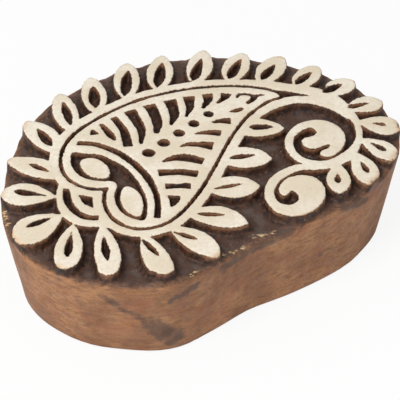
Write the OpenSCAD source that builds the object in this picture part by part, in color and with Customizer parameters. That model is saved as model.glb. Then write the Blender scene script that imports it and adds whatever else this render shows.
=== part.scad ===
// Hand-carved hardwood printing block with a paisley, lying on its flat back.
// One piece of wood carries the whole relief. A thin white ground coat covers
// only the raised tops, so each island of the pattern wears its own patch.
// Seen in plan, +X is right and +Y is the top of the pattern. Z = 0 is the back.

/* [Block] */
// Length of the printing face from left to right
face_len = 115; // [90:1:140]
// Height of the wood from the back to the raised tops
block_h = 31; // [24:0.5:40]
// Inset of the back at each end, from the tapering saw cut
side_taper = 3; // [1:0.5:6]
// Worn bevel around the edge of the back
back_bevel = 0.8; // [0.4:0.1:2]

/* [Carving] */
// Depth of the open ground between the petals and scrolls
ground_depth = 2.8; // [2:0.1:5]
// Depth of the petal slots, veins, dots and the channel around the seeds
slot_depth = 2.2; // [1:0.1:4]
// Depth of the thin parting groove around the paisley
groove_depth = 1.6; // [0.8:0.1:3]
// Width of the parting groove
groove_w = 1; // [0.6:0.1:1.6]
// Width of the border band outside the groove
band_w = 2.9; // [2.2:0.1:3.6]
// Thickness of the white ground coat on the raised tops
coat_t = 0.3; // [0.2:0.05:0.6]

/* [Spine dots] */
// Number of drilled dots along the spine
dot_count = 5; // [3:1:5]
// Diameter of the dot nearest the seeds
dot_d = 3.7; // [2.6:0.1:4.2]
// Diameter of the dot nearest the tip
tip_dot_d = 2.9; // [2:0.1:3.4]

/* [Smoothness] */
// Steps along each span of a drawn curve
curve_steps = 3; // [2:1:6]
// Steps along each side of a petal
leaf_steps = 9; // [6:1:16]

/* [Hidden] */
wood_colour = "#8b6347";
coat_colour = "#e8dfca";
// How far a cut runs out past the wood
run_out = 1;
// Roundness of the ends of petals and of their slots: lower is rounder
petal_power = 0.62;
slot_power = 0.8;
slot_steps = ceil(leaf_steps * 2 / 3);

// The drawing below is in millimetres on a block about 115 long

// Rim of the printing face, in order round the block
face_rim = [
    [-57.7, -15], [-57.3, -5], [-55.7, 5], [-52.6, 16], [-46.8, 26.6], [-38.3, 35.5],
    [-27.7, 43.3], [-15.6, 49.2], [-2, 52.4], [11, 52], [24, 49], [36.2, 44.3],
    [46.8, 36.8], [54, 27.3], [57.7, 15.5], [57.5, 5.5], [54.3, -2.5], [47.8, -12.5],
    [38.2, -20.8], [26.2, -29], [14.3, -36.1], [5.6, -43.6], [-4, -51.3], [-13, -54.8],
    [-24, -54.6], [-34, -52.8], [-42.7, -48], [-49.7, -42], [-54.7, -34.4], [-57.3, -25]
];

// Middle of the parting groove, from the notch between the two seeds, round
// the head of the paisley, out to its tip and back along the lower side
groove_line = [
    [-27.7, -16.6], [-31.5, -16.8], [-35.4, -15.3], [-38.4, -12.8], [-40.4, -9.3],
    [-41.4, -4.5], [-41.1, 0.5], [-39.7, 5.3], [-36.8, 10.2], [-32.4, 15.2], [-26.9, 20.2],
    [-20.4, 24.9], [-14, 28], [-7, 30.6], [0, 32.2], [7, 33], [14, 32.7], [19.5, 31.4],
    [22.4, 29.6], [22.6, 27.6], [19.4, 25.9], [15.6, 22], [12.2, 17.3], [9.3, 11.5],
    [6.9, 5.5], [4.7, -1], [2.5, -7.5], [0.3, -13.5], [-2.3, -19.6], [-5.4, -25.3],
    [-9.5, -30.5], [-14.5, -33.3], [-19.5, -33.5], [-24, -30.9], [-26.7, -26.8],
    [-28, -22], [-28, -18.5]
];

// Each petal: root, tip, width, where its belly lies and its sideways bend,
// then the same for the straight slot down its middle, without a bend
petals = [
    [[-42.4, -1], [-53.4, 14.4], 8.8, 0.5, -0.9, [-44.4, 2.5], [-49.2, 10.7], 2.9, 0.4],
    [[-39, 9], [-43.9, 28.5], 7.8, 0.5, 0, [-39.4, 12.5], [-42.5, 24], 2.5, 0.45],
    [[-32.3, 18], [-35, 36.8], 7.9, 0.5, -0.35, [-32.5, 21], [-33.9, 32], 3.4, 0.45],
    [[-23.6, 24.7], [-24.1, 44.5], 8.3, 0.52, 0, [-24.2, 27], [-23.5, 40.4], 3.4, 0.45],
    [[-14.4, 29.4], [-13.4, 48.6], 8.4, 0.5, 0, [-14.5, 31.5], [-13.2, 44.7], 3.4, 0.45],
    [[-3.2, 33.4], [-0.4, 51.8], 8.2, 0.48, 0, [-3.8, 35.3], [-1.2, 47], 3.1, 0.35],
    [[7.2, 34.4], [12, 50.6], 8.4, 0.5, 0.4, [7, 36.5], [10.8, 47], 3.1, 0.35],
    [[16.4, 33.6], [23.8, 49.2], 8.6, 0.52, 0.3, [16.9, 36.3], [21.3, 44.5], 2.8, 0.4],
    [[26.8, 31.8], [34.6, 44.6], 7.8, 0.52, 0, [27.3, 34.3], [32.5, 41.1], 2.5, 0.4],
    [[34.4, 28.6], [45.4, 37.2], 7.9, 0.58, 0, [35.3, 30.4], [41.6, 35.1], 2.7, 0.45],
    [[41, 22], [53.6, 26.6], 7.8, 0.6, 0.3, [42.6, 23.2], [49.3, 25.7], 2, 0.25],
    [[45, 16.6], [58.4, 13.4], 9, 0.6, 0.1, [48.9, 16], [53.8, 15], 1.5, 0.7],
    [[45.4, 8.6], [56, -1.8], 7.7, 0.58, 0.8, [48, 6.9], [52.9, 2.7], 1.9, 0.7],
    [[43.6, 2.4], [47.4, -13.2], 7.9, 0.57, 0.6, [45.2, -2.3], [47.2, -7.8], 1.8, 0.65],
    [[38.5, -2.6], [38.4, -17.3], 7.1, 0.58, 0, [38.2, -7.2], [38.2, -12.4], 1.7, 0.7],
    [[7.6, 13], [23.7, 12.6], 8.8, 0.45, 0, [13.2, 12.9], [20.4, 13.3], 2.7, 0.35],
    [[3.6, -1.4], [19.9, -1.6], 9.9, 0.48, 0.2, [7.2, -1.8], [15.1, 0], 1.9, 0.4],
    [[0.6, -15.4], [16.2, -14.2], 9.8, 0.5, 0, [2.6, -15.9], [11.1, -13.2], 1.3, 0.5],
    [[-5, -26.4], [12.7, -30.6], 8.9, 0.52, 0.8, [-2, -26.8], [6.1, -27.1], 1.5, 0.5],
    [[-9.5, -32.4], [4.6, -45], 8.2, 0.55, 1, [-8.4, -34.7], [-1.6, -37.6], 1.7, 0.6],
    [[-17, -35], [-8.6, -55.4], 7.8, 0.57, 0, [-16.7, -38], [-12, -44.8], 1.7, 0.5],
    [[-28.2, -31.8], [-24.9, -55], 7.4, 0.55, 0.4, [-27.5, -37], [-25.8, -47.3], 2.1, 0.55],
    [[-36, -31.6], [-37.4, -53], 7.9, 0.56, 0, [-36.3, -35.6], [-37, -46], 2.1, 0.6],
    [[-39, -28], [-51.8, -40.6], 11, 0.58, -1.1, [-41.2, -28.9], [-49.2, -33.8], 1.9, 0.65],
    [[-41, -20.4], [-58, -19.8], 10, 0.6, -0.5, [-44.3, -20], [-53.9, -18.3], 2.4, 0.7],
    [[-40, -11.2], [-57.6, -4], 8.6, 0.42, -0.45, [-44, -9.4], [-50.4, -5.8], 1.8, 0.6]
];

// Brush strokes as [x, y, width]: the brow above the tip runs on into the arm
// of the upper scroll, and a second arm leads from it to the lower scroll
brow_stroke = [
    [11, 34.9, 3.2], [18, 34.5, 3.4], [24, 33, 3.8], [29, 31.6, 4.6], [34, 29.4, 6],
    [38.5, 26, 6.4], [42, 21.8, 4.4], [44.6, 17, 2.6], [45.4, 12, 2.3], [45, 7.3, 2.4],
    [43.3, 3, 3.2], [41, -0.3, 4], [37.8, -2.8, 3.6], [34, -3.7, 2.9], [30, -3.1, 2.9],
    [26.9, -1, 2.8], [25.1, 2.4, 2.7], [24.7, 6.4, 2.7], [25.7, 10.2, 2.9],
    [28.3, 13.4, 3.4], [31.5, 15.2, 3]
];
tip_arm_stroke = [
    [14.4, 18.5, 4], [18.5, 22.9, 4.6], [23, 25.7, 4.4], [28, 26.9, 3.8], [33, 26.6, 4.4],
    [38, 24.6, 5], [41.6, 21.8, 4.8], [43.6, 18.4, 3.4]
];
lower_arm_stroke = [
    [37.5, -4, 3], [32, -5.1, 3], [27, -5.6, 3], [22.8, -8.3, 3.1], [19.8, -12, 3.1],
    [18.6, -16.3, 3], [19, -20.2, 3.2], [20.8, -23.4, 3.4]
];
upper_head = [
    [28.3, 14.6], [30.6, 16.6], [33.7, 17.1], [37, 16.2], [39.8, 13.8], [41.2, 10.2],
    [41.1, 6], [39.7, 2.6], [37.4, 0.1], [35, -0.6], [33.5, 0.6], [33.9, 2.3],
    [36.4, 4.1], [36.2, 5.4], [34, 4], [31.8, 3], [29.7, 3.7], [28.4, 5.8], [28.8, 8],
    [31.2, 9], [32.8, 10.9], [31.6, 13]
];
lower_head = [
    [20.8, -21.6], [23.6, -22.2], [25.9, -21.2], [26.9, -19], [26.1, -17.1],
    [24.9, -16], [24.2, -17.2], [22.8, -18.5], [21.2, -16.8], [21.7, -13.6],
    [23.9, -10.4], [27.6, -8.9], [31, -9.4], [33.4, -11.6], [34.6, -15.4],
    [34.2, -19.2], [32.3, -22.8], [29.3, -25.8], [25.5, -27.3], [21.6, -26.4], [19.2, -24.2]
];
// Fill of the band between the groove and the front petals
shell_pad = [
    [-40.2, -13.2], [-36, -14], [-29.5, -17], [-27.6, -21.5], [-26, -28], [-24.6, -33],
    [-29.4, -33], [-34.5, -32.8], [-38.6, -29.8], [-41, -25], [-41.8, -18.5]
];

// Cuts inside the border: the shell's arc and core, and the wedge at the tip
shell_arc = [
    [-38.9, -16.9, 1.3], [-38.6, -20, 2], [-37.6, -23.7, 2], [-35.4, -27, 2],
    [-32.6, -29, 2], [-29.3, -29.4, 1.8]
];
shell_core = [[-35.2, -19.6], [-31.4, -20.3], [-31.2, -22.6], [-30.9, -25], [-33.4, -23.4]];
tip_wedge = [[21.2, 31.1], [25, 30.7], [29, 29.6], [32.6, 28.9], [28, 28.6], [22, 27.6]];

// Cuts inside the paisley: channel round the seeds, the arc that sets the
// collar apart, and the veins on each side of the spine
seed_channel = [
    [-37.9, -0.4], [-34.5, -0.9], [-30.5, -1.3], [-26.8, -3.4], [-23.2, -6.4],
    [-20.2, -10.4], [-18, -15], [-16.4, -20], [-15.8, -25], [-16.5, -29.9],
    [-19.8, -29.2], [-22.8, -26.6], [-24.6, -22.8], [-25, -18.6], [-24.5, -14.8],
    [-26.2, -13], [-29.5, -13.1], [-33, -12.3], [-35.9, -10.2], [-37.8, -7], [-38.5, -3.5]
];
upper_seed = [
    [-35.9, -5.4], [-34.8, -3.2], [-32.2, -2.7], [-29.5, -4], [-27.6, -6.3],
    [-26.8, -9], [-27.2, -11.5], [-29.6, -12.1], [-32.4, -11.2], [-34.6, -8.8]
];
lower_seed = [
    [-22.3, -15.3], [-20.4, -15.7], [-18.4, -17.8], [-17.2, -20.6], [-16.8, -24],
    [-17.2, -27.4], [-18.5, -28.5], [-20.4, -27.6], [-22.3, -25.2], [-23.6, -21.6],
    [-23.5, -17.8]
];
collar_arc = [
    [-37, 4, 1.9], [-33, 3.8, 1.8], [-30, 2.9, 1.8], [-25, -0.1, 1.9], [-20.3, -4.8, 2],
    [-17.5, -8.8, 2.1], [-15.2, -13.2, 1.8], [-13.5, -18.2, 1.5], [-12.8, -23.4, 1.6],
    [-12.9, -28.8, 1.7]
];
veins = [
    [[-33.1, 10.6, 0.5], [-32.3, 8.2, 2.6]],
    [[-30.5, 13.2, 0.9], [-28.8, 10.3, 1.9], [-27.4, 7.9, 2], [-26.1, 5.6, 0.5]],
    [[-27, 16.4, 1.8], [-24.6, 12.3, 2.1], [-23.1, 8, 2.5], [-22.2, 2.9, 2.6]],
    [[-22.3, 19.9, 3.7], [-20.3, 15.3, 2.9], [-18.5, 10.6, 2.4], [-18.5, 4.2, 0.7]],
    [[-16.6, 23, 3.7], [-14.9, 18.5, 3.1], [-13.9, 13.8, 2.7], [-14.2, 9.4, 1]],
    [[-10.6, 25.5, 3.7], [-9.5, 21.5, 3], [-9.1, 17.6, 2.6], [-10, 13.4, 0.5]],
    [[-4.9, 27.4, 3.5], [-4.6, 24.3, 2.6], [-4.6, 21.2, 1.9], [-5.6, 17.5, 0.4]],
    [[0.6, 28.7, 3.1], [0.8, 25.7, 2.4], [-0.7, 21.7, 0.8]],
    [[6.3, 29.2, 3.2], [5.7, 26.9, 1.9], [3.6, 24.3, 0.5]],
    [[9.5, 26.9, 0.5], [10.3, 28.8, 1], [13.4, 28.8, 0.8], [14.7, 27.2, 1.8], [12.5, 24.4, 0.9]],
    [[17.8, 28.9, 0.4], [15.4, 28.3, 1.4], [14.6, 27, 1.8]],
    [[7.3, 20.1, 0.4], [9.6, 20.9, 1.7], [11.3, 22, 0.6]],
    [[2.3, 15, 0.5], [4.8, 15.7, 2.1], [7.6, 15.8, 2.9]],
    [[-2.9, 9.3, 0.5], [0.5, 10.1, 1.7], [4.7, 9.9, 2.7]],
    [[-7, 3.2, 0.5], [-4.4, 4.4, 1.8], [-1, 4.3, 2.3], [2.5, 3.7, 3.6]],
    [[-12, -3.9, 0.5], [-8.6, -2.2, 2.4], [-4.6, -2.1, 3.2], [-0.2, -3.5, 2.9]],
    [[-13, -9.1, 3], [-9.4, -8.7, 2.5], [-6, -8.5, 2.6], [-1.9, -9.4, 2.7]],
    [[-10.8, -15, 2.4], [-7.4, -14.8, 1.9], [-3.8, -14.7, 2.6]],
    [[-8.2, -19.2, 3.4], [-8.3, -21.4, 2.5], [-9, -24, 0.5]]
];
// Centres of the first and last dot on the spine
first_dot = [-16.1, 0.1];
last_dot = [1.1, 18.9];

// Point on a smooth curve through b and c, with a and d as its neighbours
function between(a, b, c, d, t) =
    0.5 * (2 * b + (c - a) * t + (2 * a - 5 * b + 4 * c - d) * t * t + (3 * b - a - 3 * c + d) * t * t * t);

// Smooth closed curve through the points
function closed_curve(p) = let (n = len(p))
    [for (i = [0 : n - 1], s = [0 : curve_steps - 1])
        between(p[(i + n - 1) % n], p[i], p[(i + 1) % n], p[(i + 2) % n], s / curve_steps)];

// Smooth open curve from the first point to the last
function open_curve(p) = let (n = len(p))
    [for (i = [0 : n - 2], s = [0 : i == n - 2 ? curve_steps : curve_steps - 1])
        between(p[max(i - 1, 0)], p[i], p[i + 1], p[min(i + 2, n - 1)], s / curve_steps)];

function flat(p) = [p[0], p[1]];
function left_of(v) = [-v[1], v[0]] / norm(v);

// Outline of a brush stroke that follows [x, y, width] points
function stroke_outline(points) = let (
    c = open_curve(points),
    n = len(c),
    side = [for (i = [0 : n - 1]) left_of(flat(c[min(i + 1, n - 1)] - c[max(i - 1, 0)])) * c[i][2] / 2]
) concat([for (i = [0 : n - 1]) flat(c[i]) + side[i]], [for (i = [n - 1 : -1 : 0]) flat(c[i]) - side[i]]);

// Outline of a leaf, whose ends are rounder the lower the power is
function leaf_outline(root, tip, width, belly, bend, power, steps) = let (
    along = tip - root,
    across = left_of(along),
    rise = ln(0.5) / ln(belly),
    share = [for (i = [0 : steps]) i / steps],
    half = [for (t = share) width / 2 * pow(sin(180 * pow(t, rise)), power)],
    spine = [for (t = share) root + along * t + across * bend * 4 * t * (1 - t)]
) concat(
    [for (i = [0 : steps]) spine[i] + across * half[i]],
    [for (i = [steps - 1 : -1 : 1]) spine[i] - across * half[i]]
);

// The drawing is scaled to the block and its middle is put over the origin
rim_curve = closed_curve(face_rim);
rim_x = [for (p = rim_curve) p[0]];
rim_y = [for (p = rim_curve) p[1]];
rim_centre = [max(rim_x) + min(rim_x), max(rim_y) + min(rim_y)] / 2;
draw_scale = face_len / (max(rim_x) - min(rim_x));
// Share of the face's scale that one millimetre of inset takes off
inset_scale = 2 / face_len;
back_scale = 1 - side_taper * inset_scale;

function placed(p) = (p - rim_centre) * draw_scale;
module drawn(points) polygon([for (p = points) placed(p)]);
module stroke(points) drawn(stroke_outline(points));

module petal(p) drawn(leaf_outline(p[0], p[1], p[2], p[3], p[4], petal_power, leaf_steps));
module petal_slot(p) drawn(leaf_outline(p[5], p[6], p[7], p[8], 0, slot_power, slot_steps));

module face() drawn(rim_curve);
module paisley_field(grow) offset(delta = grow) drawn(open_curve(groove_line));

// Everything raised outside the groove, before its slots are cut
module border_outline() {
    paisley_field(groove_w / 2 + band_w);
    for (p = petals) petal(p);
    stroke(brow_stroke);
    stroke(tip_arm_stroke);
    stroke(lower_arm_stroke);
    drawn(closed_curve(upper_head));
    drawn(closed_curve(lower_head));
    drawn(closed_curve(shell_pad));
}

module border_cuts() {
    for (p = petals) petal_slot(p);
    stroke(shell_arc);
    drawn(shell_core);
}

module paisley_cuts() {
    stroke(collar_arc);
    for (v = veins) stroke(v);
    for (i = [0 : dot_count - 1]) {
        t = i / (dot_count - 1);
        translate(placed(first_dot + (last_dot - first_dot) * t))
            circle(d = dot_d + (tip_dot_d - dot_d) * t, $fn = 16);
    }
}

module upper_seed_shape() drawn(closed_curve(upper_seed));
module lower_seed_shape() drawn(closed_curve(lower_seed));
module border_shape() difference() {
    border_outline();
    paisley_field(groove_w / 2);
    drawn(tip_wedge);
    border_cuts();
}
module paisley_shape() difference() {
    paisley_field(-groove_w / 2);
    drawn(closed_curve(seed_channel));
    paisley_cuts();
}

// Tapering sawn blank, with a bevel worn at 45 degrees round the back
module blank() {
    bevel_foot = back_scale - back_bevel * inset_scale;
    intersection() {
        tapering(back_scale, 1);
        tapering(bevel_foot, bevel_foot + block_h * inset_scale);
    }
}

// The face drawn out over the block's height, from one scale to another
module tapering(bottom, top) linear_extrude(block_h, scale = top / bottom) scale(bottom) face();

// Takes the drawn shape out of the top, down to the depth
module sink(depth) translate([0, 0, block_h - depth])
    linear_extrude(depth + run_out) offset(delta = 0) children();

module carved_block() color(wood_colour) difference() {
    blank();
    sink(ground_depth) difference() {
        offset(delta = run_out) face();
        border_outline();
    }
    sink(slot_depth) border_cuts();
    sink(slot_depth) paisley_cuts();
    sink(slot_depth) difference() {
        drawn(closed_curve(seed_channel));
        upper_seed_shape();
        lower_seed_shape();
    }
    sink(slot_depth) difference() {
        drawn(tip_wedge);
        paisley_field(-groove_w / 2);
    }
    sink(groove_depth) difference() {
        paisley_field(groove_w / 2);
        paisley_field(-groove_w / 2);
    }
}

// White coat on the raised tops of one island
module coat() color(coat_colour) translate([0, 0, block_h])
    linear_extrude(coat_t) offset(delta = 0) intersection() {
        face();
        children();
    }

module border_coat() coat() border_shape();
module paisley_coat() coat() paisley_shape();
module upper_seed_coat() coat() upper_seed_shape();
module lower_seed_coat() coat() lower_seed_shape();

carved_block();
border_coat();
paisley_coat();
upper_seed_coat();
lower_seed_coat();
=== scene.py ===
from math import cos, radians, sin

import bpy
import numpy as np
from mathutils import Matrix, Vector
from mathutils.geometry import delaunay_2d_cdt


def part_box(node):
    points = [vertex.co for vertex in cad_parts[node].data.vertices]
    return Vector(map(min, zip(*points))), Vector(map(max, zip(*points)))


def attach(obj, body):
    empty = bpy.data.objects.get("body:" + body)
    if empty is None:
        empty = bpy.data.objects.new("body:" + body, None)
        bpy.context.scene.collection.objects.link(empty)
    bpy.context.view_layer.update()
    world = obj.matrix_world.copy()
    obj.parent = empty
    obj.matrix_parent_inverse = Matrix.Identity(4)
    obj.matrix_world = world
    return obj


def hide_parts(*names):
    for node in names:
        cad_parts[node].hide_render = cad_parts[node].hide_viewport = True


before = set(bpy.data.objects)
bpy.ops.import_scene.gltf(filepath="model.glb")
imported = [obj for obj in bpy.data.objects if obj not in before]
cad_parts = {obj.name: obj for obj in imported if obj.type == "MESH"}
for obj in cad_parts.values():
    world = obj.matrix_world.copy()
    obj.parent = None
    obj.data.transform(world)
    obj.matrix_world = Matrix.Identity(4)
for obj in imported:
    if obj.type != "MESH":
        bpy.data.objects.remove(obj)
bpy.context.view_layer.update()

# Sizes are written in millimetres, and MM turns them into Blender's metres.
MM = 0.001

# The camera stands in front of the block and looks 40 degrees down on it,
# from over half a metre, with a long lens that keeps the sides near parallel.
LOOKED_AT = Vector((-1.19, -15.7, 28.0)) * MM
CAMERA_DISTANCE = 564.6 * MM
CAMERA_ELEVATION = radians(40)
CAMERA_ROLL = radians(0.926)
LENS_LENGTH = 180
SENSOR_WIDTH = 36

camera_data = bpy.data.cameras.new("camera")
camera_data.sensor_width = SENSOR_WIDTH
camera_data.lens = LENS_LENGTH
camera = bpy.data.objects.new("camera", camera_data)
back_from_target = Vector((0, -cos(CAMERA_ELEVATION), sin(CAMERA_ELEVATION)))
camera.location = LOOKED_AT + back_from_target * CAMERA_DISTANCE
camera.rotation_euler = (
    Matrix.Rotation(radians(90) - CAMERA_ELEVATION, 3, "X") @ Matrix.Rotation(CAMERA_ROLL, 3, "Z")
).to_euler()
bpy.context.scene.collection.objects.link(camera)
bpy.context.scene.camera = camera

# The plan of the carving. The block's white coats lie on its raised tops, so
# their outlines are the line that the carver's chisel followed. The rim of the
# face is the outline of the flat back, drawn out to the face's full length.
FACE_LENGTH = 115.0
TOP = 31.0
COATS = ["border_coat", "paisley_coat", "upper_seed_coat", "lower_seed_coat"]
COAT_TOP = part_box("border_coat")[1].z / MM
LEVEL_TOLERANCE = 0.01
CAD_DIGITS = 3
SMALLEST_SQUARE = 1e-9
GRID_STEP = 0.2
GRID_MARGIN = 3.0
GAP_REACH = 5.0


def flat_outline(node, level):
    """Directed edges round the faces of a CAD node that lie at one height."""
    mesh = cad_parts[node].data
    points = [tuple(round(c / MM, CAD_DIGITS) for c in v.co) for v in mesh.vertices]
    edges = set()
    for polygon in mesh.polygons:
        corners = [points[i] for i in polygon.vertices]
        if any(abs(c[2] - level) > LEVEL_TOLERANCE for c in corners):
            continue
        for a, b in zip(corners, corners[1:] + corners[:1]):
            if (b[:2], a[:2]) in edges:
                edges.remove((b[:2], a[:2]))
            else:
                edges.add((a[:2], b[:2]))
    return np.array(sorted(edges))


back_edges = flat_outline("carved_block", 0)
back_length = np.ptp(back_edges[:, 0, 0])
rim_edges = back_edges * (FACE_LENGTH / back_length)
grid_low = rim_edges.min((0, 1)) - GRID_MARGIN
grid_x, grid_y = (
    np.arange(low, high + GRID_MARGIN, GRID_STEP)
    for low, high in zip(grid_low, rim_edges.max((0, 1)))
)
grid_points = np.stack(np.meshgrid(grid_x, grid_y), -1).reshape(-1, 2)


def signed_distance(edges, reach):
    """Distance to an outline on the whole grid, negative inside it, and never over the reach."""
    distance = np.full((len(grid_y), len(grid_x)), reach)
    for a, b in edges:
        first = np.floor((np.minimum(a, b) - reach - grid_low) / GRID_STEP).astype(int).clip(0)
        last = np.ceil((np.maximum(a, b) + reach - grid_low) / GRID_STEP).astype(int) + 1
        x = grid_x[None, first[0] : last[0]] - a[0]
        y = grid_y[first[1] : last[1], None] - a[1]
        along = b - a
        length_squared = max(along @ along, SMALLEST_SQUARE)
        share = ((x * along[0] + y * along[1]) / length_squared).clip(0, 1)
        window = distance[first[1] : last[1], first[0] : last[0]]
        np.minimum(window, np.hypot(x - share * along[0], y - share * along[1]), out=window)
    low, high = edges[:, :, 1].min(1), edges[:, :, 1].max(1)
    for row, y in enumerate(grid_y):
        a, b = edges[(low <= y) & (high > y)].transpose(1, 0, 2)
        crossings = np.sort(a[:, 0] + (y - a[:, 1]) / (b[:, 1] - a[:, 1]) * (b[:, 0] - a[:, 0]))
        inside = np.searchsorted(crossings, grid_x) % 2 == 1
        distance[row, inside] *= -1
    return distance


rim_field = signed_distance(rim_edges, 2 * GAP_REACH)
island_gaps = [signed_distance(flat_outline(node, COAT_TOP), GAP_REACH) for node in COATS]
sharp_gap = np.min(island_gaps, axis=0)

# Three petals at the front are blunter than a leaf. Each ends in a small disc,
# given by its centre and radius, and what lies past the disc is cut away.
BLUNT_ENDS = [((-37.2, -46.6), 2.6), ((-25.7, -48.7), 2.8), ((-10.8, -48.2), 2.6)]
PETAL_REACH = 1.6

for (x, y), radius in BLUNT_ENDS:
    disc_gap = np.hypot(grid_x[None] - x, grid_y[:, None] - y) - radius
    past_disc = (abs(grid_x[None] - x) < PETAL_REACH * radius) & (grid_y[:, None] < y - radius / 2)
    sharp_gap = np.where(past_disc, disc_gap, np.minimum(sharp_gap, disc_gap))

# A chisel leaves no sharp corner and no even line. Corners are eased, most of
# all at the petals' tips, which start and end at set distances from the rim,
# and every line wobbles. Each wave has its strength, its size and its seed.
CUT_SOFTNESS = 0.2
TIP_SOFTNESS = 0.75
TIPS_START = 5.5
TIPS_END = 1.5
HAND_WAVES = [(0.1, 2.6, 1), (0.07, 1.1, 2), (0.06, 0.55, 12)]
LATTICE_SIZE = 128
LATTICE_START = 448


def softened(field, reach):
    """The grid's values evened out by a bell curve that is cut off at three reaches."""
    offsets = np.arange(-3 * reach, 3 * reach + GRID_STEP / 2, GRID_STEP)
    weights = np.exp(-((offsets / reach) ** 2) / 2)
    for axis in (0, 1):
        field = np.apply_along_axis(np.convolve, axis, field, weights / weights.sum(), "same")
    return field


def waver(points, size, seed):
    """Smooth random values from -1 to 1 that change over about the given size."""
    lattice = np.random.default_rng(seed).uniform(-1, 1, (LATTICE_SIZE, LATTICE_SIZE))
    place = points / size + LATTICE_START
    cell = np.floor(place).astype(int)
    share = place - cell
    share = share * share * (3 - 2 * share)
    (i, j), (u, v) = cell.T, share.T
    (low_left, low_right), (high_left, high_right) = (
        [lattice[(j + up) % LATTICE_SIZE, (i + right) % LATTICE_SIZE] for right in (0, 1)]
        for up in (0, 1)
    )
    low = low_left * (1 - u) + low_right * u
    high = high_left * (1 - u) + high_right * u
    return low * (1 - v) + high * v


def summed(points, waves):
    """The sum of several waves, each with its strength, its size and its seed."""
    return sum(strength * waver(points, size, seed) for strength, size, seed in waves)


tip_share = ((rim_field + TIPS_START) / (TIPS_START - TIPS_END)).clip(0, 1)
cut_gap = softened(sharp_gap, CUT_SOFTNESS)
tip_gap = softened(sharp_gap, TIP_SOFTNESS)
gap_field = cut_gap * (1 - tip_share) + tip_gap * tip_share
gap_field += summed(grid_points, HAND_WAVES).reshape(gap_field.shape)

# The carved face is one skin over the whole top of the wood: level tops, steep
# chiselled walls and an uneven ground that falls away from them. Its edges are
# rounded, and rubbed down at the rim, most of all at the front.
WALL_RUN = 0.9
GROUND_DEPTH = 2.55
GROUND_FALL = 0.22
FALL_REACH = 3.0
GROUND_WAVES = [(0.22, 3.1, 3), (0.1, 1.1, 4)]
SCROLL_CENTRE = np.array([29.5, 19.5])
SCROLL_REACH = (9, 4.5)
SCROLL_HOLLOW = 1.1
TOP_WAVES = [(0.03, 6.0, 5)]
EDGE_ROUND = 0.3
EDGE_WEAR = 0.1
RIM_WEAR = 0.15
FRONT_WEAR = 0.5
FRONT_REACH = 30.0
RIM_WEAR_REACH = 1.6
GRID_END = 1.001


def sampled(field, points):
    """A grid's values at any points, read between its nodes, and at its end for points past it."""
    last_cell = np.array([len(grid_x), len(grid_y)]) - GRID_END
    col, row = ((points - grid_low) / GRID_STEP).clip(0, last_cell).T
    i, j = col.astype(int), row.astype(int)
    u, v = col - i, row - j
    low = field[j, i] * (1 - u) + field[j, i + 1] * u
    high = field[j + 1, i] * (1 - u) + field[j + 1, i + 1] * u
    return low * (1 - v) + high * v


def carved_depth(points):
    """How far the wood lies below its tops."""
    gap = sampled(gap_field, points)
    to_rim = -sampled(rim_field, points)
    open_ground = (gap - WALL_RUN).clip(0, FALL_REACH)
    from_scroll = (((points - SCROLL_CENTRE) / SCROLL_REACH) ** 2).sum(1)
    floor = GROUND_DEPTH + GROUND_FALL * open_ground
    floor += summed(points, GROUND_WAVES)
    floor += SCROLL_HOLLOW * np.exp(-from_scroll) * (open_ground > 0)
    wall = 1 - (1 - (gap / WALL_RUN).clip(0, 1)) ** 3
    edge = EDGE_WEAR * (1 + gap / EDGE_ROUND).clip(0, 1) ** 2
    front = (-points[:, 1] / FRONT_REACH).clip(0, 1)
    worn = (RIM_WEAR + FRONT_WEAR * front) * (1 - to_rim / RIM_WEAR_REACH).clip(0, 1) ** 2
    return floor * wall + edge + worn + summed(points, TOP_WAVES) * (gap < 0)


# The skin's triangles follow the edge of every petal, scroll, vein and groove,
# at several distances down the wall, with a loose scatter of points between.
# Blender joins them up, and INSIDE_EDGES asks it for those within the rim.
WALL_GAPS = [-EDGE_ROUND, -0.1, 0, 0.12, 0.3, 0.55, WALL_RUN]
CONTOUR_SPACING = 0.42
CONTOUR_RIM_CLEARANCE = 0.2
CONTOUR_DIGITS = 7
SHORTEST_CONTOUR = 8
RIM_SPACING = 0.36
FEWEST_POINTS = 6
GROUND_SPACING = 0.85
SCATTER_REACH = (58, 55)
SCATTER_CLEARANCE = 0.28
SCATTER_RIM_CLEARANCE = 0.45
SHAKE = 0.2
SHAKE_SIZE = 0.7
SHAKE_SEEDS = (6, 7)
INSIDE_EDGES = 1
MERGE_DISTANCE = 1e-6


def chained(edges):
    """The loops of points that directed edges form, longest first."""
    after = {tuple(a): tuple(b) for a, b in edges}
    loops = []
    while after:
        start, point = after.popitem()
        loop = [start]
        while point != start and point in after:
            loop.append(point)
            point = after.pop(point)
        loops.append(np.array(loop))
    return sorted(loops, key=len, reverse=True)


def evenly(loop, spacing):
    """The closed loop again, with even gaps of about the given length between its points."""
    closed = np.vstack([loop, loop[:1]])
    run = np.concatenate([[0], np.cumsum(np.linalg.norm(np.diff(closed, axis=0), axis=1))])
    count = max(FEWEST_POINTS, int(round(run[-1] / spacing)))
    stops = np.arange(count) * run[-1] / count
    return np.column_stack([np.interp(stops, run, closed[:, k]) for k in (0, 1)])


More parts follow.
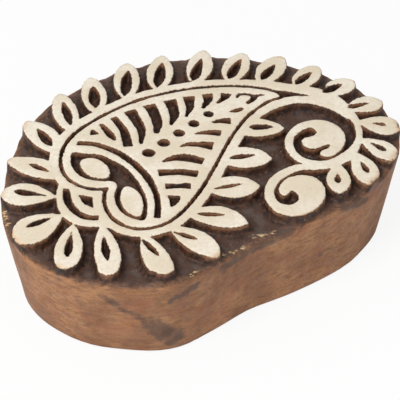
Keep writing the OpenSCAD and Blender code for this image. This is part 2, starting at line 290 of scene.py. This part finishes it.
def contours(field, level):
    """Closed loops where the grid's values pass a level."""
    above = field - level
    rows, cols = above.shape
    index = np.arange(rows * cols).reshape(rows, cols)
    low_left, low_right = index[:-1, :-1], index[:-1, 1:]
    high_left, high_right = index[1:, :-1], index[1:, 1:]
    halves = ((low_left, low_right, high_right), (low_left, high_right, high_left))
    corners = np.concatenate([np.stack(half, -1).reshape(-1, 3) for half in halves])
    values = above.reshape(-1)
    inside = values[corners] < 0
    crossed = inside.any(1) & ~inside.all(1)
    corners, inside = corners[crossed], inside[crossed]
    lone_inside = inside.sum(1) == 1
    alone = np.where(lone_inside, inside.argmax(1), (~inside).argmax(1))
    one, after, before = (corners[np.arange(len(corners)), (alone + step) % 3] for step in range(3))
    start = np.where(lone_inside, after, before)
    end = np.where(lone_inside, before, after)

    def crossing(other):
        share = (values[one] / (values[one] - values[other]))[:, None]
        return grid_points[one] * (1 - share) + grid_points[other] * share

    return chained(np.round(np.stack([crossing(start), crossing(end)], 1), CONTOUR_DIGITS))


plan_rows, plan_edges = [], []


def add_loop(points, kept):
    """Adds the kept points of a closed loop, and the edges between neighbours that are kept."""
    numbers = sum(map(len, plan_rows)) + np.cumsum(kept) - 1
    both = kept & np.roll(kept, -1)
    plan_edges.extend(np.column_stack([numbers, np.roll(numbers, -1)])[both].tolist())
    plan_rows.append(points[kept])


def scattered():
    """Points spread loosely over the tops and the open ground, clear of walls and rim."""
    columns, rows = (np.arange(-reach, reach, GROUND_SPACING) for reach in SCATTER_REACH)
    points = np.stack(np.meshgrid(columns, rows), -1).reshape(-1, 2)
    shaken = np.stack([waver(points, SHAKE_SIZE, seed) for seed in SHAKE_SEEDS], 1)
    points += SHAKE * GROUND_SPACING * shaken
    gap = sampled(gap_field, points)
    free = np.min([abs(gap - level) for level in WALL_GAPS], axis=0) > SCATTER_CLEARANCE
    free &= sampled(rim_field, points) < -SCATTER_RIM_CLEARANCE
    free &= (gap < 0) | (gap > WALL_RUN)
    return points[free]


def faces_within(points, edges):
    """Triangles over points and edges, inside the outermost loop of edges."""
    corners = [Vector(p) for p in points.tolist()]
    made = delaunay_2d_cdt(corners, edges, [], INSIDE_EDGES, MERGE_DISTANCE)
    return np.array([tuple(v) for v in made[0]]), np.array(made[2])


rim_loop = evenly(chained(rim_edges)[0], RIM_SPACING)
add_loop(rim_loop, np.ones(len(rim_loop), bool))
for level in WALL_GAPS:
    for loop in contours(gap_field, level):
        if len(loop) > SHORTEST_CONTOUR:
            loop = evenly(loop, CONTOUR_SPACING)
            add_loop(loop, sampled(rim_field, loop) < -CONTOUR_RIM_CLEARANCE)
plan_points, plan_faces = faces_within(np.vstack(plan_rows + [scattered()]), plan_edges)
used, plan_faces = np.unique(plan_faces, return_inverse=True)
plan_faces = plan_faces.reshape(-1, 3)
plan_points = plan_points[used]
plan_gap = sampled(gap_field, plan_points)
heights = TOP - carved_depth(plan_points)

# The block is one piece of brown hardwood. Its face is carved, its sides are
# planed and lean in towards the back, and its back is sawn flat, with a small
# worn bevel. The side's skin hangs from the rim of the face, row by row.
SIDE_ROWS = 20
SIDE_LEAN = 5.1
LEAN_REACH = 4.0
BEVEL = 0.8
BACK_SCALE = 1 - 2 * SIDE_LEAN / FACE_LENGTH
FOOT_SCALE = BACK_SCALE - 2 * BEVEL / FACE_LENGTH
PLANING_DEPTH = 0.12
PLANING_SIZE = 7.0
PLANING_STEP = 0.35
PLANING_SEED = 8


def taper(height):
    """Share of the face's outline that the block keeps at a height."""
    return BACK_SCALE + (1 - BACK_SCALE) * height / TOP


def open_edges(faces):
    """Where only one triangle has an edge, the edge's first point and its second."""
    half_edges = {(a, b) for t in faces.tolist() for a, b in zip(t, t[1:] + t[:1])}
    return {a: b for a, b in half_edges if (b, a) not in half_edges}


def mesh_object(name, points, faces):
    """A new smooth mesh object."""
    mesh = bpy.data.meshes.new(name)
    mesh.from_pydata((points * MM).tolist(), [], faces)
    mesh.validate()
    mesh.shade_smooth()
    made = bpy.data.objects.new(name, mesh)
    bpy.context.scene.collection.objects.link(made)
    return made


def store(piece, name, values):
    """Keeps one number for each point of a piece, for its material to read."""
    piece.data.attributes.new(name, "FLOAT", "POINT").data.foreach_set("value", values)


near_rim = (1 + sampled(rim_field, plan_points) / LEAN_REACH).clip(0, 1)
narrowing = 1 - (1 - taper(heights)) * near_rim
face_skin = np.column_stack([plan_points * narrowing[:, None], heights])

outer = open_edges(plan_faces)
rim_ring = [min(outer)]
for _ in range(len(outer) - 1):
    rim_ring.append(outer[rim_ring[-1]])
rim_ring = np.array(rim_ring)

ring = plan_points[rim_ring]
outward = ring / np.linalg.norm(ring, axis=1)[:, None]
along_rim = np.arange(len(ring)) * PLANING_STEP
rim_heights = heights[rim_ring]
side_rings = []
for share in np.linspace(0, 1, SIDE_ROWS + 1)[1:]:
    height = rim_heights + (BEVEL - rim_heights) * share
    planed = PLANING_DEPTH * waver(np.column_stack([along_rim, height]), PLANING_SIZE, PLANING_SEED)
    flat = ring * taper(height)[:, None] + outward * (planed * share**0.5)[:, None]
    side_rings.append(np.column_stack([flat, height]))
foot = side_rings[-1][:, :2] * FOOT_SCALE / BACK_SCALE
side_rings.append(np.column_stack([foot, np.zeros(len(foot))]))

ring_numbers = [rim_ring] + [
    len(face_skin) + k * len(ring) + np.arange(len(ring)) for k in range(len(side_rings))
]
side_faces = [
    quad
    for upper, lower in zip(ring_numbers, ring_numbers[1:])
    for quad in np.column_stack([upper, lower, np.roll(lower, -1), np.roll(upper, -1)]).tolist()
]
back_face = ring_numbers[-1][::-1].tolist()
block_points = np.vstack([face_skin] + side_rings)
wood = mesh_object("wooden_block", block_points, plan_faces.tolist() + side_faces + [back_face])
sawn_back = wood.data.polygons[len(wood.data.polygons) - 1]
sawn_back.use_smooth = False

side_count = len(block_points) - len(face_skin)
on_side = np.concatenate([np.zeros(len(face_skin)), np.ones(side_count)])
on_side[rim_ring] = 1
rim_gap = np.concatenate([-sampled(rim_field, plan_points), np.zeros(side_count)])
store(wood, "edge_gap", np.concatenate([plan_gap, np.full(side_count, GAP_REACH)]))
store(wood, "depth", TOP - block_points[:, 2])
store(wood, "side", on_side)
store(wood, "rim_gap", rim_gap.clip(0, None))

# Each mark is a stroke on the wood: where it starts and ends, how wide it is
# and how strong. The dark ones are smears of dye, the pale ones are scrapes. A
# stroke fades out over one width, up to STROKE_END widths from its middle line.
DYE_SMEARS = [
    ((-27, -51, 23.5), (-14, -50, 13), 1.7, 0.7),
    ((-14, -50, 13), (-8, -48, 5), 3.2, 0.8),
    ((-8.5, -50, 21.5), (-2, -47, 24.5), 1.6, 0.85),
    ((5, -41, 25), (24, -28, 27.5), 1.8, 0.9),
    ((40, -17.5, 27.5), (45.5, -12, 26), 1.8, 0.85),
    ((33.5, -20, 12), (36, -18, 13), 1.2, 0.5),
    ((-48, -35, 20), (-40, -43, 8), 2.5, 0.3),
]
SCRAPES = [
    ((13, -31.5, 28), (20, -28.5, 27.7), 1.0, 1.0),
    ((5.5, -39, 28), (11.5, -35, 27.7), 0.9, 0.95),
    ((-4.5, -48, 28), (-1, -45.5, 28), 0.9, 0.9),
    ((-56, -22.5, 28), (-54.5, -27.5, 27.7), 1.1, 1.0),
]
STROKE_END = 1.6


def strokes(points, marks):
    """How strongly the marks cover each point, from 0 to 1."""
    cover = np.zeros(len(points))
    for start, end, width, strength in marks:
        along = np.subtract(end, start)
        share = ((points - start) @ along / (along @ along)).clip(0, 1)
        away = np.linalg.norm(points - start - share[:, None] * along, axis=1)
        cover = np.maximum(cover, strength * (STROKE_END - away / width).clip(0, 1))
    return cover


store(wood, "dye", strokes(block_points, DYE_SMEARS))
store(wood, "scrape", strokes(block_points, SCRAPES))


class Value:
    """A number or colour in a material, with Python's arithmetic on it."""

    def __init__(self, finish, socket):
        self.finish = finish
        self.socket = socket

    def maths(self, operation, a, b):
        return self.finish.node("Math", {"operation": operation}, {0: a, 1: b})

    def __add__(self, other):
        return self.maths("ADD", self, other)

    def __sub__(self, other):
        return self.maths("SUBTRACT", self, other)

    def __rsub__(self, other):
        return self.maths("SUBTRACT", other, self)

    def __mul__(self, other):
        return self.maths("MULTIPLY", self, other)

    __radd__ = __add__
    __rmul__ = __mul__


class Finish:
    """A new material, with one method that adds any node to it."""

    def __init__(self, name):
        self.material = bpy.data.materials.new(name)
        self.material.use_nodes = True
        self.tree = self.material.node_tree
        self.tree.nodes.clear()

    def node(self, kind, settings, inputs, output=0):
        """Adds a node: its type, its settings, what its sockets hold, and the output to go on with."""
        made = self.tree.nodes.new("ShaderNode" + kind)
        for name, value in settings.items():
            setattr(made, name, value)
        for name, value in inputs.items():
            if isinstance(value, Value):
                self.tree.links.new(value.socket, made.inputs[name])
            else:
                made.inputs[name].default_value = value
        return Value(self, made.outputs[output]) if made.outputs else None

    def attribute(self, name):
        """A number that is stored on the piece's points."""
        return self.node("Attribute", {"attribute_name": name}, {}, "Fac")

    def place(self, stretch=(1, 1, 1), turn=(0, 0, 0)):
        """Position on the piece in millimetres, turned and stretched."""
        position = self.node("TexCoord", {}, {}, "Object")
        scale = [s / MM for s in stretch]
        return self.node("Mapping", {}, {"Vector": position, "Rotation": turn, "Scale": scale})

    def noise(self, size, detail=3.0, where=None, rough=0.5):
        """Cloudy values about one half, whose patches have the given size in millimetres."""
        sockets = {"Vector": where or self.place(), "Scale": 1 / size}
        sockets.update({"Detail": detail, "Roughness": rough})
        return self.node("TexNoise", {}, sockets)

    def span(self, value, low, high, start=0.0, end=1.0):
        """Maps values between low and high to start and end, with soft ends."""
        sockets = {"Value": value, "From Min": low, "From Max": high, "To Min": start, "To Max": end}
        return self.node("MapRange", {"interpolation_type": "SMOOTHSTEP"}, sockets)

    def patches(self, size, detail, low, high):
        """A mask of cloudy patches: 0 where the noise is below low, and 1 where it is above high."""
        return self.span(self.noise(size, detail), low, high)

    def mix(self, share, first, second):
        """A colour between two colours."""
        a, b = ((*c, 1) if isinstance(c, tuple) else c for c in (first, second))
        return self.node("Mix", {"data_type": "RGBA"}, {0: share, 6: a, 7: b}, 2)

    def bump(self, height, strength, depth):
        """Surface normal pushed about by a height, over a depth in millimetres."""
        sockets = {"Height": height, "Strength": strength, "Distance": depth * MM}
        return self.node("Bump", {}, sockets)

    def surface(self, colour, roughness, normal):
        """Ends the material with its colour, its roughness and its normal."""
        sockets = {"Base Color": colour, "Roughness": roughness, "Normal": normal}
        self.node("OutputMaterial", {}, {"Surface": self.node("BsdfPrincipled", {}, sockets)})


def ragged(value, noise, amount):
    """A value that a noise shifts up and down, by half the amount at most."""
    return value + (noise - 0.5) * amount


def shade(red, green, blue):
    """A colour from its screen values, 0 to 255."""
    return tuple(
        c / 12.92 if c <= 0.04045 else ((c + 0.055) / 1.055) ** 2.4
        for c in (red / 255, green / 255, blue / 255)
    )


# The sides are bare, oiled by hands and smeared with dye. The carving is
# stained dark, waxy in the open ground, and dusted with specks of chalk. Just
# under its worn edges it is tan: partly bare wood, partly painted light of lit upper walls.
BROWN_HARDWOOD = shade(146, 100, 66)
PALE_HARDWOOD = shade(176, 126, 84)
RED_HARDWOOD = shade(156, 92, 62)
DARK_GRAIN = shade(116, 74, 48)
OPEN_PORES = shade(98, 61, 40)
HAND_SMUDGE = shade(92, 62, 46)
DRY_DYE = shade(74, 57, 50)
DARK_STAIN = shade(38, 20, 10)
THIN_STAIN = shade(80, 48, 29)
BROWN_WAX = shade(74, 49, 36)
GREY_WAX = shade(84, 69, 62)
BARE_RIM = shade(128, 88, 60)
STAINED_RIM = shade(88, 58, 41)
DYE_ON_STAIN = shade(58, 46, 42)
TAN_WEAR_AND_PAINTED_LIGHT = shade(146, 98, 64)
CHALK_SPECK = shade(200, 184, 160)
FRESH_SCRAPE = shade(214, 184, 140)
GRAIN_SLOPE = radians(-24)
GRAIN_TURN = radians(12)
SCRATCH_TURN = radians(-28)


def side_colour(finish, grain, fine, dyed):
    """Brown hardwood with wavy grain, open pores, redder patches, smudges and dye."""
    mix, span, patches = finish.mix, finish.span, finish.patches
    colour = mix(patches(10, 3, 0.35, 0.65), BROWN_HARDWOOD, PALE_HARDWOOD)
    colour = mix(span(grain, 0.42, 0.68) * 0.6, colour, DARK_GRAIN)
    colour = mix(span(fine, 0.48, 0.66) * 0.5, colour, OPEN_PORES)
    colour = mix(patches(7, 3, 0.48, 0.68) * 0.35, colour, RED_HARDWOOD)
    colour = mix(patches(6, 4, 0.6, 0.76) * 0.35, colour, HAND_SMUDGE)
    return mix(dyed, colour, DRY_DYE)


def carving_colour(finish, depth, fine, dyed):
    """Dark stain and wax, browner at the rim, with dye, tan worn edges that are partly painted light,
    chalk specks and scrapes.
    """
    mix, span, patches, noise = finish.mix, finish.span, finish.patches, finish.noise
    gap = finish.attribute("edge_gap")
    stain = mix(patches(1.2, 5, 0.38, 0.66), DARK_STAIN, THIN_STAIN)
    wax = mix(patches(3.5, 4, 0.42, 0.66), BROWN_WAX, GREY_WAX)
    colour = mix(span(gap, 0.8, 2.4), stain, wax)
    to_rim = ragged(finish.attribute("rim_gap"), noise(3, 4), 5)
    brown_rim = span(to_rim, 0.2, 2.8, 1, 0) * 0.75
    rim_colour = mix(span(fine, 0.4, 0.65), BARE_RIM, STAINED_RIM)
    colour = mix(brown_rim * span(gap, 0.2, 1), colour, rim_colour)
    colour = mix(dyed * 0.8, colour, DYE_ON_STAIN)
    # Painted light: the tan band just under the top edges stands for lit upper walls as well as bare
    # worn wood, on every wall alike.
    tan_wear_and_painted_light = span(ragged(depth, noise(1.5, 5), 2.6), 0.1, 1.5, 1, 0)
    colour = mix(tan_wear_and_painted_light * patches(9, 2, 0.38, 0.58) * 0.75, colour, TAN_WEAR_AND_PAINTED_LIGHT)
    colour = mix(patches(0.45, 2, 0.7, 0.76) * 0.75, colour, CHALK_SPECK)
    scratchy = noise(0.6, 5, finish.place((0.4, 1, 1), (0, 0, SCRATCH_TURN)), 0.65)
    scraped = span(ragged(finish.attribute("scrape"), scratchy, 3.4), 0.9, 1.3) * 0.9
    return mix(scraped, colour, FRESH_SCRAPE)


def carved_wood():
    """Bare brown sides below a stained carving, with fine fibres and pores all over."""
    finish = Finish("carved_wood")
    span, noise, place = finish.span, finish.noise, finish.place
    along_grain = place((0.16, 0.6, 1), (0, GRAIN_SLOPE, GRAIN_TURN))
    waved = finish.node("VectorMath", {"operation": "ADD"}, {0: along_grain, 1: noise(16, 2) * 3.0})
    grain = noise(1.3, 6, waved, 0.6)
    fine = noise(0.5, 4, place((0.3, 0.8, 1), (0, GRAIN_SLOPE, 0)), 0.7)
    dyed = span(ragged(finish.attribute("dye"), noise(2.4, 5), 1.5), 0.35, 0.85) * 0.7
    depth = finish.attribute("depth")
    below_stain = span(ragged(depth, noise(2.5, 4), 3.4), 2.4, 4.0)
    colour = finish.mix(
        finish.attribute("side") * below_stain,
        carving_colour(finish, depth, fine, dyed),
        side_colour(finish, grain, fine, dyed),
    )
    fibres = noise(0.35, 4, place((1, 1, 0.25)), 0.7)
    roughness = span(noise(3, 3), 0.3, 0.7, 0.5, 0.75)
    finish.surface(colour, roughness, finish.bump(grain * 0.5 + fibres, strength=0.7, depth=0.25))
    return finish.material


wood.data.materials.append(carved_wood())
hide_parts("carved_block")
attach(wood, "root")

# The white coat is a dry layer of chalk and glue that marks the raised tops.
# It lies on four islands, follows every cut edge, and thins out to nothing
# at the edge, where the brown wood shows through.
COAT_THICKNESS = COAT_TOP - TOP
THINNEST_SHARE = 0.08
CHALK_ROUGHNESS = 0.85
ON_TOP_TOLERANCE = 1e-3
GREY_CHALK = shade(222, 208, 184)
CREAM_CHALK = shade(236, 227, 210)
DUSTY_CHALK = shade(214, 200, 178)
WORN_TO_TAN = shade(146, 108, 76)
WORN_TO_WOOD = shade(78, 50, 34)
RUBBED_CHALK = shade(206, 166, 124)
PIT_IN_CHALK = shade(132, 100, 76)


def chalk_coat():
    """Cream chalk with dusty patches and pits, worn to tan and to the wood at its edges."""
    finish = Finish("chalk_coat")
    mix, span, patches, noise = finish.mix, finish.span, finish.patches, finish.noise
    colour = mix(patches(12, 3, 0.35, 0.65), GREY_CHALK, CREAM_CHALK)
    colour = mix(patches(1.2, 4, 0.3, 0.7) * 0.5, colour, DUSTY_CHALK)
    wear = ragged(finish.attribute("edge_gap"), noise(0.8, 5, None, 0.65), 0.9)
    colour = mix(span(wear, -0.26, -0.02), colour, WORN_TO_TAN)
    colour = mix(span(wear, -0.04, 0.06), colour, WORN_TO_WOOD)
    rubbed = span(ragged(finish.attribute("rim_gap"), noise(1.4, 5), 3), 0.4, 2.2, 1, 0)
    colour = mix(rubbed * 0.6, colour, RUBBED_CHALK)
    colour = mix(patches(0.45, 3, 0.68, 0.74) * 0.8, colour, PIT_IN_CHALK)
    finish.surface(colour, CHALK_ROUGHNESS, finish.bump(noise(0.5, 4), strength=0.5, depth=0.15))
    return finish.material


def without_flaps(faces):
    """The faces, less those with all three corners on the open edge, where a coat has no thickness."""
    flaps = np.isin(faces, list(open_edges(faces))).all(1)
    while flaps.any():
        faces = faces[~flaps]
        flaps = np.isin(faces, list(open_edges(faces))).all(1)
    return faces


def coat_over(name, faces):
    """A closed shell that lies on some faces of the wood and meets it at their open edge."""
    used, faces = np.unique(without_flaps(faces), return_inverse=True)
    faces = faces.reshape(-1, 3)
    numbers = np.arange(len(used))
    seam = np.isin(numbers, list(open_edges(faces)))
    gaps = plan_gap[used]
    edge_share = (1 + gaps / EDGE_ROUND).clip(0, 1)
    under = face_skin[used]
    over = under.copy()
    over[:, 2] += COAT_THICKNESS * np.sqrt(1 - edge_share**2).clip(THINNEST_SHARE)
    over[seam] = under[seam]
    below = np.where(seam, numbers, len(used) + numbers)
    lower_faces = below[faces][:, ::-1]
    coat = mesh_object(name, np.vstack([over, under]), faces.tolist() + lower_faces.tolist())
    store(coat, "edge_gap", np.tile(gaps, 2))
    store(coat, "rim_gap", np.tile(rim_gap[used], 2))
    return coat


chalk = chalk_coat()
on_top = (plan_gap[plan_faces] <= ON_TOP_TOLERANCE).all(1)
middles = plan_points[plan_faces].mean(1)
nearest = np.argmin([sampled(gaps, middles) for gaps in island_gaps], axis=0)
for number, node in enumerate(COATS):
    island_faces = plan_faces[on_top & (nearest == number)]
    coat = coat_over(node.replace("_coat", "_white_coat"), island_faces)
    coat.data.materials.append(chalk)
    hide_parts(node)
    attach(coat, "root")

# The stamp lies on a plain white sheet of paper. The sheet glows white to the
# camera alone, and lets the stamp's contact shadow show.
SHEET_SIZE = 3000.0
PAPER_SHADE = (0.86, 0.86, 0.86, 1)
PAPER_WHITE = (1, 1, 1, 1)
SHEET_GLOW = 0.88


def white_sheet():
    """White paper that shows the shadow and no colour of its own."""
    finish = Finish("white_sheet")
    paper = finish.node("BsdfDiffuse", {}, {"Color": PAPER_SHADE})
    glow = finish.node("Emission", {}, {"Color": PAPER_WHITE, "Strength": 1.0})
    seen = finish.node("LightPath", {}, {}, "Is Camera Ray")
    blended = finish.node("MixShader", {}, {0: seen * SHEET_GLOW, 1: paper, 2: glow})
    finish.node("OutputMaterial", {}, {"Surface": blended})
    return finish.material


sheet_corners = np.array([(-1, -1, 0), (1, -1, 0), (1, 1, 0), (-1, 1, 0)]) * SHEET_SIZE / 2
sheet = mesh_object("white_sheet", sheet_corners, [(0, 1, 2, 3)])
sheet.data.materials.append(white_sheet())

# Soft, even light comes from a white room, which the camera sees as full
# white. A square lamp at the upper left, on the camera's side, gives it some
# direction, and its place and size are in metres.
ROOM_LIGHT = 0.55
ROOM_SEEN = 1.0
LAMP_PLACE = Vector((-0.35, -0.45, 0.75))
LAMP_SIZE = 0.4
LAMP_POWER = 6.0

world = bpy.data.worlds.new("studio")
world.use_nodes = True
bpy.context.scene.world = world
background = world.node_tree.nodes["Background"]
background.inputs["Color"].default_value = (1, 1, 1, 1)
light_path = world.node_tree.nodes.new("ShaderNodeLightPath")
room_strength = world.node_tree.nodes.new("ShaderNodeMapRange")
room_strength.inputs["To Min"].default_value = ROOM_LIGHT
room_strength.inputs["To Max"].default_value = ROOM_SEEN
world.node_tree.links.new(light_path.outputs["Is Camera Ray"], room_strength.inputs["Value"])
world.node_tree.links.new(room_strength.outputs[0], background.inputs["Strength"])

lamp_data = bpy.data.lights.new("key", "AREA")
lamp_data.size = LAMP_SIZE
lamp_data.energy = LAMP_POWER
lamp = bpy.data.objects.new("key", lamp_data)
lamp.location = LAMP_PLACE
lamp.rotation_euler = (-LAMP_PLACE).to_track_quat("-Z", "Y").to_euler()
bpy.context.scene.collection.objects.link(lamp)
bpy.context.scene.view_settings.view_transform = "Standard"
